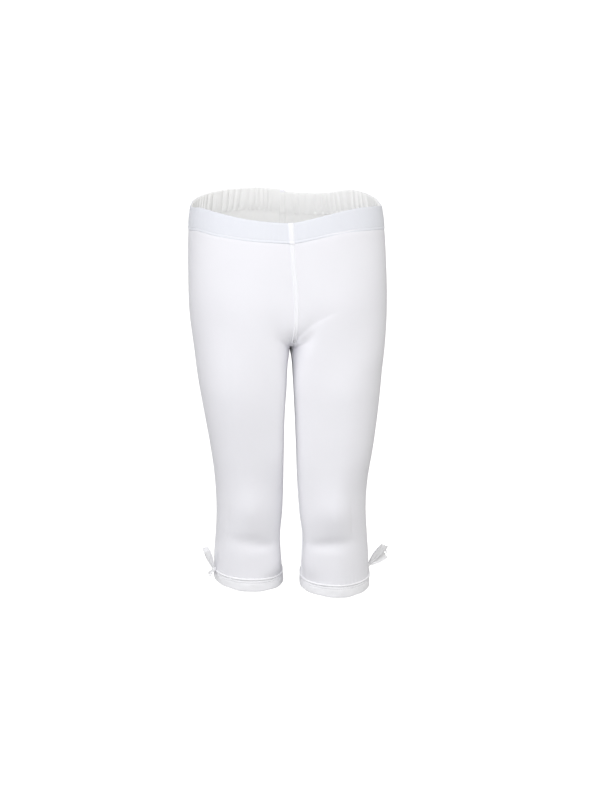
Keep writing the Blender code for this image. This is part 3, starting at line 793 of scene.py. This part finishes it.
def grid_faces(rows, columns, close_rows=False, close_columns=False, flip=False):
    """Corner numbers of the faces of a grid, and their (row, column) pairs, which are counted on past the
    last row and column where the grid is closed."""
    r = np.arange(rows if close_rows else rows - 1)[:, None]
    c = np.arange(columns if close_columns else columns - 1)[None, :]
    r, c = (part.reshape(-1) for part in np.broadcast_arrays(r, c))
    rs = np.stack([r, r + 1, r + 1, r], axis=-1)
    cs = np.stack([c, c, c + 1, c + 1], axis=-1)
    faces = (rs % rows) * columns + cs % columns
    unrolled = np.stack([rs, cs], axis=-1)
    return (faces[:, ::-1], unrolled[:, ::-1]) if flip else (faces, unrolled)


def grid_uv(points, unrolled):
    """Cloth coordinates of a grid in metres: the distance along its rows and up its columns, each taken on
    the grid's middle line, so that the knit stays straight."""
    rows, columns = points.shape[:2]
    middles = (points[rows // 2], points[:, columns // 2])
    across, down = (run_length(np.concatenate([line, line[:1]])) for line in middles)
    return np.stack([across[unrolled[..., 1]], -down[unrolled[..., 0]]], axis=-1) * MM


def grid_piece(name, points, finishes, slot, nodes, closed=False, flip=False):
    """A grid of points as a piece, with its last row and column joined to the first where it is closed."""
    faces, unrolled = grid_faces(*points.shape[:2], closed, closed, flip)
    uvs = [grid_uv(points, unrolled)]
    return mesh_piece(name, points.reshape(-1, 3), [faces], uvs, finishes, slot, nodes)


def bar_faces(count, around, flip=False):
    """Faces of a bar of rings: the grid's, the same unrolled, and a fan to a last point at each end."""
    faces, unrolled = grid_faces(count, around, close_columns=True, flip=flip)
    here = np.arange(around)
    after = (here + 1) % around
    if flip:
        here, after = after, here
    last_ring = (count - 1) * around
    tip = np.full(around, count * around)
    start = np.stack([here, after, tip], axis=-1)
    end = np.stack([last_ring + after, last_ring + here, tip + 1], axis=-1)
    return faces, unrolled, np.concatenate([start, end])


def bar_piece(name, rings, finishes, slot, node):
    """A bar from rings of points: closed round each ring, with a fan to a middle point at each end."""
    faces, unrolled, fans = bar_faces(*rings.shape[:2])
    points = np.concatenate([rings.reshape(-1, 3), [rings[0].mean(axis=0), rings[-1].mean(axis=0)]])
    uvs = [grid_uv(rings, unrolled), np.zeros((*fans.shape, 2))]
    return mesh_piece(name, points, [faces, fans], uvs, finishes, slot, [node])


def wall(piece, thickness, offset, inner_finish=0):
    """Gives a sheet its thickness: offset -1 inwards, 1 outwards, 0 both ways."""
    made = piece.modifiers.new("wall", "SOLIDIFY")
    made.thickness = thickness * MM
    made.offset = offset
    made.material_offset = inner_finish
    return piece


# --- The cloth


def leg_piece(side):
    """A leg piece, from under the waistband to inside the hem: rows of drops that crowd towards the crotch,
    each run from the front edge round to the back edge. The edges are one line below the crotch."""
    u = np.linspace(0, 1, LEG_COLUMNS + 1)
    top = band_bottom_drop(side, u) - TUCK
    bottom = hem_top_drop(side, u) + HEM_TUCK
    straight = np.linspace(0, 1, WAIST_ROWS, endpoint=False)[:, None]
    turning = turn_falls(RISE_ROWS + 1)[:-1, None]
    falling = np.linspace(0, 1, LEG_ROWS + 1)[:, None]
    rise = mix(SPLIT_DROP, CROTCH_DROP, turning) + 0 * u
    drops = np.concatenate([mix(top, SPLIT_DROP, straight), rise, mix(CROTCH_DROP, bottom, falling)])
    points = lifted_point(side, u, drops, relief(side, u, drops))
    round_it = run_length(points)
    round_it = round_it - round_it[:, LEG_COLUMNS // 2, None]
    uv = np.stack([round_it * SIDES[side], -drops], axis=-1) * MM
    split = WAIST_ROWS + RISE_ROWS
    points[split:, 0] = points[split:, -1] = (points[split:, 0] + points[split:, -1]) / 2
    faces, unrolled = grid_faces(*drops.shape, flip=side == "right")
    numbers = np.arange(drops.size).reshape(drops.shape)
    numbers[split:, -1] = numbers[split:, 0]
    kept, faces = np.unique(numbers.reshape(-1)[faces], return_inverse=True)
    parts = points.reshape(-1, 3)[kept], [faces.reshape(-1, 4)], [uv[unrolled[..., 0], unrolled[..., 1]]]
    # the inner face takes the lighter reverse finish, painted light for the shaded inside
    piece = mesh_piece(f"leg_{side}_cloth", *parts, ["jersey", "inside"], "jersey", [f"leg_{side}"])
    return wall(piece, JERSEY, -1, inner_finish=1)


def band_piece():
    """The whole waistband: its cross-section carried round the waist, with the gathers of its outer and inner
    layers added as lifts, which also scallop the rim slightly."""
    share, beyond, lift, outer, inner = smooth_columns(BAND_PROFILE, 64, closed=True)
    dense = np.linspace(0, 1, 4001)
    half = np.interp(np.linspace(0, 1, BAND_COLUMNS + 1), waist_share(dense), dense)
    parts = []
    for side, u in (("left", half), ("right", half[-2:0:-1])):
        rim = -rim_height(side, u)
        scallop = 0.35 * gathers(side, u, rim, OUTER_GATHERS) * (1 - ease(share * 4))
        drops = mix(rim, band_bottom_drop(side, u), share) + beyond - scallop * (1 - share)
        outer_folds = outer * gathers(side, u, drops, OUTER_GATHERS)
        inner_folds = inner * gathers(side, u, drops, INNER_GATHERS)
        parts.append(lifted_point(side, u, drops, lift + outer_folds - inner_folds))
    points = np.concatenate(parts, axis=1)
    finishes, nodes = ["doubled", "band_inside"], ["waistband_left", "waistband_right"]
    piece = grid_piece("waistband_cloth", points, finishes, "jersey_doubled", nodes, closed=True)
    # the band's inner faces take the lighter reverse finish, painted light for the shaded inside
    facing_in = (inner[:, 0] > outer[:, 0]).astype(int)
    piece.data.polygons.foreach_set("material_index", np.repeat(facing_in, points.shape[1]))
    return piece


def hem_piece(side):
    """A hem: its cross-section carried round the leg, with small drag lines between the stitches, soft waves
    and a slightly uneven lower edge."""
    share, beyond, lift, outer, inner = smooth_columns(HEM_PROFILE, 60, closed=True)
    u = np.linspace(0, 1, HEM_COLUMNS, endpoint=False)
    along = line_length(side, u, 470)
    seed = SIDES[side]
    uneven = waves(along, (0.35, 9, seed), (0.25, 4.1, 2 * seed)) * ease((share - 0.5) * 2)
    drops = hem_top_drop(side, u) + hem_height(u) * share + beyond + uneven
    drag = waves(along, (0.1, 1.5, 3.0 * share + waves(along, (1.5, 8, seed)))) * bell((share - 0.3) / 0.25)
    soft = waves(along, (1, 6.5, seed - 6 * share), (0.6, 3.1, 9 * share))
    points = lifted_point(side, u, drops, lift + outer * (drag + 0.14 * soft) + inner * 0.1 * soft)
    name, flip = f"hem_{side}", side == "right"
    return grid_piece(f"{name}_cloth", points, ["hem"], "jersey_doubled", [name], closed=True, flip=flip)


# --- Seams


def grid_normals(points):
    """Unit normals of a grid of points: rows crossed with columns."""
    return unit(np.cross(np.gradient(points, axis=0), np.gradient(points, axis=1)))


def beside_seam(end, across, drop, lift):
    """Points beside the front seam (end 0) or back seam (end 1), at lifts above the cloth: rows follow the
    seam, and columns cross it, from the wearer's right in front and left behind, to face outwards."""
    grids = {}
    toward = across if end == 0 else -across
    for side in SIDES:
        edge = cloth_point(side, end, drop)
        form = front_form(edge[:, 0], drop) * (end == 0)
        along = unit(cloth_point(side, abs(end - 0.006), drop) - edge)
        line = edge + cloth_normal(side, end, drop) * (lift + form)[:, None]
        grids[side] = line[:, None] + along[:, None] * np.abs(toward)[..., None]
    return np.where((toward > 0)[..., None], grids["left"], grids["right"])


def seam_strip(node, base, crown, finish="seam"):
    """A flat seam on a base grid: a low rounded strip with a shallow groove along its middle, sunk a little
    into the cloth, which dies out at both ends."""
    place = np.linspace(-1, 1, base.shape[1])
    section = np.clip(1 - place**4, 0, None) ** 0.5 * (1 - 0.22 * bell(place / 0.22))
    rows = np.arange(len(base))
    ends = ease(rows / 3) * ease((len(base) - 1 - rows) / 3)
    height = crown * section * ends[:, None]
    normals = grid_normals(base)
    bottom = base - normals * SEAM_SINK
    rings = np.concatenate([base + normals * height[..., None], bottom[:, ::-1]], axis=1)
    return bar_piece(f"{node}_cloth", rings, [finish], "seam", node)


def rise_ends(end):
    """Drops of the rim and of the waistband's lower edge at the front or back seam."""
    rim = -sum(rim_height(side, end) for side in SIDES) / 2
    return rim, sum(band_bottom_drop(side, end) for side in SIDES) / 2


def rise_path(end):
    """The line that a rise seam follows from inside the rim, over it and down to the crotch: its drops, the
    lifts of the cloth under it, and its width, which narrows below the waistband and at the rise."""
    rim, edge = rise_ends(end)
    over, over_lifts = smooth_columns(OVER_RIM, 26)[..., 0]
    down = np.linspace(rim + 1.9, edge + 3.5, 44)
    ridge = 0.55 + 0.6 * bell((down - edge + 0.9) / 1.1) - 0.5 * ease((down - edge - 0.2) / 1.6)
    torso = np.linspace(edge + 4.5, SPLIT_DROP, 70)
    crotch = mix(SPLIT_DROP, CROTCH_DROP, turn_falls(70)[1:])
    drops = np.concatenate([rim + over, down, torso, crotch])
    lifts = np.concatenate([over_lifts, ridge, np.full(len(torso) + len(crotch), UNDER_SEAM)])
    width = SEAM_WIDTH - 1.0 * ease((drops - edge) / 6) - 1.4 * rising(drops, SEAM_NARROWING)
    return drops, lifts, width


def rise_seam(which):
    """The flat seam down the centre front or back, as a strip along the rise."""
    end = SEAM_ENDS[which]
    drops, lifts, width = rise_path(end)
    across = width[:, None] * np.linspace(-0.5, 0.5, 18)
    return seam_strip(f"{which}_seam", beside_seam(end, across, drops, lifts), 0.95)


def allowance_piece():
    """The back seam's allowance inside: a flat overlocked strip from the rim down to the seat."""
    rim, edge = rise_ends(SEAM_ENDS["back"])
    drops = np.linspace(rim + 1.2, ALLOWANCE_END, 120)
    lifts = -2.35 + 1.05 * ease((drops - edge + 1) / 5)
    across = ALLOWANCE_WIDTH * np.linspace(-0.5, 0.5, 16) + 0.25 * np.sin(drops / 6)[:, None]
    base = beside_seam(SEAM_ENDS["back"], across[:, ::-1], drops, lifts)
    # the allowance takes the band's lighter reverse finish, painted light for the shaded inside
    return seam_strip("back_seam_allowance", base, 0.9, "band_inside")


def inseam_piece(side):
    """The flat seam down the inner side of a leg, between its two edges."""
    drops = np.linspace(CROTCH_DROP + 1.5, HEM_TOP_DROP[side] - 0.5, 190)
    levels = np.linspace(180, 480, 31)
    length = np.interp(drops, levels, [line_length(side, 1, level) for level in levels])
    turn = SIDES[side] * INSEAM_WIDTH * np.linspace(-0.5, 0.5, 12) / length[:, None]
    return seam_strip(f"inseam_{side}", lifted_point(side, turn, drops[:, None], UNDER_SEAM), 0.8)


# --- Stitches


def stitch_shape():
    """One stitch as a thin arched spindle with six sides: (along, across, up) points, as shares of its length
    and of its thickness."""
    turn = np.arange(6) * math.pi / 3
    along, radius, rise = np.array([(-0.36, 0.4, 0.25), (0.0, 0.5, 0.5), (0.36, 0.4, 0.25)]).T[..., None]
    rings = np.broadcast_arrays(along, radius * np.cos(turn), radius * np.sin(turn) + rise)
    tips = [[-0.5, 0, -0.45], [0.5, 0, -0.45]]
    faces, _, fans = bar_faces(3, 6, flip=True)
    return np.concatenate([np.stack(rings, axis=-1).reshape(-1, 3), tips]), faces, fans


def stitch_piece(name, lines, thickness=THREAD):
    """Stitches along lines of (points, normals): one on each step of a line, over a share of its length."""
    shape, quads, fans = stitch_shape()
    rows = []
    for line, normals in lines:
        along = (line[1:] - line[:-1]) * STITCH_SHARE
        across = unit(np.cross((normals[:-1] + normals[1:]) / 2, along)) * thickness
        up = unit(np.cross(along, across)) * thickness
        middle = (line[:-1] + line[1:]) / 2
        frames = np.stack([along, across, up], axis=1)
        rows.append(middle[:, None] + np.einsum("pk,nkj->npj", shape, frames))
    stitches = np.concatenate(rows)
    offsets = (np.arange(len(stitches)) * len(shape))[:, None, None]
    faces = [(part + offsets).reshape(-1, part.shape[1]) for part in (quads, fans)]
    points = stitches.reshape(-1, 3)
    uvs = [points[part][..., [0, 2]] * MM for part in faces]
    return mesh_piece(name, points, faces, uvs, ["thread"], "seam")


def even_line(points, normals, pitch):
    """A dense line and its normals, sampled again at an even pitch."""
    length = run_length(points)
    places = np.linspace(0, length[-1], int(round(length[-1] / pitch)) + 1)
    columns = np.concatenate([points, normals], axis=1).T
    even = np.stack([np.interp(places, length, column) for column in columns], axis=-1)
    return even[:, :3], unit(even[:, 3:])


def cloth_line(side, u, drops, lift, pitch=STITCH_PITCH):
    """An even line over a leg piece, at a lift, with the cloth's normals."""
    return even_line(lifted_point(side, u, drops, lift), cloth_normal(side, u, drops), pitch)


def hem_stitches(side):
    """Two rows of straight stitches in the grooves of the hem."""
    u = np.linspace(0, 1, 900)
    top, height = hem_top_drop(side, u), hem_height(u)
    lines = [cloth_line(side, u, top + height * share, lift) for share, lift in HEM_GROOVES]
    return stitch_piece(f"hem_{side}_stitches", lines)


def band_stitches():
    """One row of straight stitches in the groove above the waistband's lower edge, over the gathers."""
    u = np.linspace(0.012, 0.988, 1200)
    lines = []
    for side in SIDES:
        drops = band_bottom_drop(side, u) - BAND_GROOVE
        lines.append(cloth_line(side, u, drops, 0.72 * gathers(side, u, drops, OUTER_GATHERS) - 0.1))
    return stitch_piece("waistband_stitches", lines)


def rise_stitches(which):
    """Two rows of stitches down a rise seam, one near each edge."""
    end = SEAM_ENDS[which]
    drops, lifts, width = rise_path(end)
    lines = []
    for place in (-0.3, 0.3):
        base = beside_seam(end, (width * place)[:, None] + [-0.2, 0, 0.2], drops, lifts)
        normals = grid_normals(base)[:, 1]
        points = base[:, 1] + normals * 0.9
        lines.append(even_line(points[6:-2], normals[6:-2], SEAM_STITCH_PITCH))
    return stitch_piece(f"{which}_seam_stitches", lines, SEAM_THREAD)


def inseam_stitches(side):
    """One row of stitches down the middle of an inseam."""
    drops = np.linspace(CROTCH_DROP + 4, HEM_TOP_DROP[side] - 2, 700)
    line = cloth_line(side, 0, drops, 0.62, SEAM_STITCH_PITCH)
    return stitch_piece(f"inseam_{side}_stitches", [line], SEAM_THREAD)


# --- Bows


def bow_seat(side):
    """Where the knot stands, just off the leg's outer side, and the level way out from the leg there."""
    turn = BOW_TURN[side]
    drop = hem_top_drop(side, turn) - BOW_RISE[side]
    before, surface, after = (cloth_point(side, turn + step, drop) for step in (-0.01, 0, 0.01))
    along = after - before
    outwards = unit(np.array([along[1], -along[0], 0]) * SIDES[side])
    return surface + outwards * (KNOT_RADII[0] + BOW_STAND[side]), outwards


def ribbon_piece(side, piece, centre, outwards):
    """A ribbon carried along its path from the knot, with its width laid across. It is pleated near the knot
    and slightly waved further out, and its tip is ruffled or cut on the slant."""
    away = unit(np.array([SIDES[side] * piece.out, -piece.forward, piece.up], float))
    flat = unit(np.cross(away, outwards))
    rise = np.cross(flat, away)
    roll = math.radians(piece.roll)
    wide = math.cos(roll) * flat + math.sin(roll) * rise
    thick = math.cos(roll) * rise - math.sin(roll) * flat
    reach, stand, breadth = smooth_columns(RIBBON_SHAPES[piece.shape], RIBBON_SAMPLES[piece.shape])
    start = KNOT_SIZE / np.linalg.norm(away / np.array(KNOT_RADII)) - 0.6
    place = np.linspace(-0.5, 0.5, 22)
    near = np.exp(-reach * piece.length / PLEAT_REACH)
    pleats = 2 * math.pi * PLEATS * place
    pleat = PLEAT_DEPTH * np.cos(pleats + 2 * piece.out) * near
    crush = CRUSH_DEPTH * np.sin(9 * place + 7 * reach) * (1 - near)
    ruffle = piece.ruffle * np.cos(pleats + 1) * ease((reach - 0.6) / 0.4)
    slant = piece.slant * piece.width * place * ease((reach - 0.4) / 0.6)
    out = start + reach * (piece.length + 1.5) + ruffle + slant
    up = stand * piece.swell + pleat + crush
    line = centre + away * out[..., None] + thick * up[..., None]
    points = line + wide * (breadth * piece.width * place)[..., None]
    name = f"bow_{side}_{piece.name}"
    return wall(grid_piece(f"{name}_ribbon", points, ["ribbon"], "ribbon", [name]), RIBBON, 0)


def knot_piece(side, centre):
    """The wrap at a bow's middle: a flattened ball with three upright folds over it."""
    turn = np.linspace(0, 2 * math.pi, 48, endpoint=False)
    fall = np.linspace(0.06, math.pi - 0.06, 30)[:, None]
    across = np.sin(fall) * np.sin(turn)
    size = KNOT_SIZE * (1 + 0.05 * np.cos(2 * math.pi * 1.6 * across) * np.sin(fall))
    ball = np.stack(np.broadcast_arrays(np.sin(fall) * np.cos(turn), across, np.cos(fall)), axis=-1)
    rings = centre + ball * KNOT_RADII * size[..., None]
    return bar_piece(f"bow_{side}_knot_ribbon", rings, ["ribbon"], "ribbon", f"bow_{side}_knot")


# --- Camera, light and floor


def turn_towards(made, place, aim):
    """Stands a camera or a light at a place, turned towards its aim."""
    made.location = place
    made.rotation_mode = "QUATERNION"
    made.rotation_quaternion = (aim - place).to_track_quat("-Z", "Y")


def make_camera():
    """The camera, which looks a little to the side of the garment's middle and below it."""
    data = bpy.data.cameras.new("camera")
    data.lens = LENS
    data.sensor_width = 36
    data.clip_start, data.clip_end = 0.05, 100
    place = Vector((math.sin(CAMERA_TURN), -math.cos(CAMERA_TURN), 0)) * CAMERA_DISTANCE
    place.z = CAMERA_HEIGHT
    aim = Vector((0, 0, AIM_HEIGHT))
    forward = (aim - place).normalized()
    right = forward.cross(Vector((0, 0, 1))).normalized()
    aim += right * AIM_RIGHT - right.cross(forward) * AIM_DOWN
    camera = scene_object("camera", data)
    turn_towards(camera, place, aim)
    bpy.context.scene.camera = camera


def make_lamp(lamp):
    """A square soft light."""
    data = bpy.data.lights.new(lamp.name, "AREA")
    data.size = lamp.size
    data.energy = lamp.power
    data.color = lamp.colour
    turn_towards(scene_object(lamp.name, data), Vector(lamp.place), Vector(lamp.aim))


def make_floor(level):
    """A wide pale floor, lit up to plain white where it is looked at, which throws less light upwards."""
    made = bpy.data.materials.new("pale_floor")
    made.use_nodes = True
    tree = made.node_tree
    seen = new_node(tree, "ShaderNodeLightPath", {}).outputs["Is Camera Ray"]
    looks = {"Base Color": (*FLOOR_BOUNCE, 1), "Roughness": 0.95, "Specular IOR Level": 0.1}
    looks |= {"Emission Color": (*WHITE, 1), "Emission Strength": seen}
    fill(tree, tree.nodes["Principled BSDF"], looks)
    data = bpy.data.meshes.new("floor")
    corners = [(x * FLOOR_HALF, y * FLOOR_HALF, level) for x, y in ((-1, -1), (1, -1), (1, 1), (-1, 1))]
    data.from_pydata(corners, [], [(0, 1, 2, 3)])
    data.materials.append(made)
    scene_object("floor", data)


def make_world():
    """Even white light from all round, and plain white where it is looked at."""
    world = bpy.data.worlds.new("studio")
    bpy.context.scene.world = world
    world.use_nodes = True
    tree = world.node_tree
    seen = new_node(tree, "ShaderNodeLightPath", {}).outputs["Is Camera Ray"]
    brighter = math_node(tree, "MULTIPLY", seen, 1.0 - WORLD_LIGHT)
    strength = math_node(tree, "ADD", brighter, WORLD_LIGHT)
    fill(tree, tree.nodes["Background"], {"Color": (*WHITE, 1), "Strength": strength})


# --- Putting it together

legs = {side: leg_piece(side) for side in SIDES}
band = band_piece()
hems = {side: hem_piece(side) for side in SIDES}
seams = [rise_seam("front"), rise_seam("back"), allowance_piece()]
seams += [rise_stitches("front"), rise_stitches("back")]
leg_trims = {side: [inseam_piece(side), inseam_stitches(side)] for side in SIDES}
leg_trims["left"] += seams
hem_trims = {side: [hem_stitches(side)] for side in SIDES}
band_row = band_stitches()

for side in SIDES:
    seat, way_out = bow_seat(side)
    hem_trims[side].append(knot_piece(side, seat))
    hem_trims[side] += [ribbon_piece(side, piece, seat, way_out) for piece in BOWS[side]]

low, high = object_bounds()
make_camera()
make_floor(low.z - FLOOR_DROP)
make_world()
for lamp in LAMPS:
    make_lamp(lamp)
bpy.context.scene.view_settings.view_transform = "Standard"
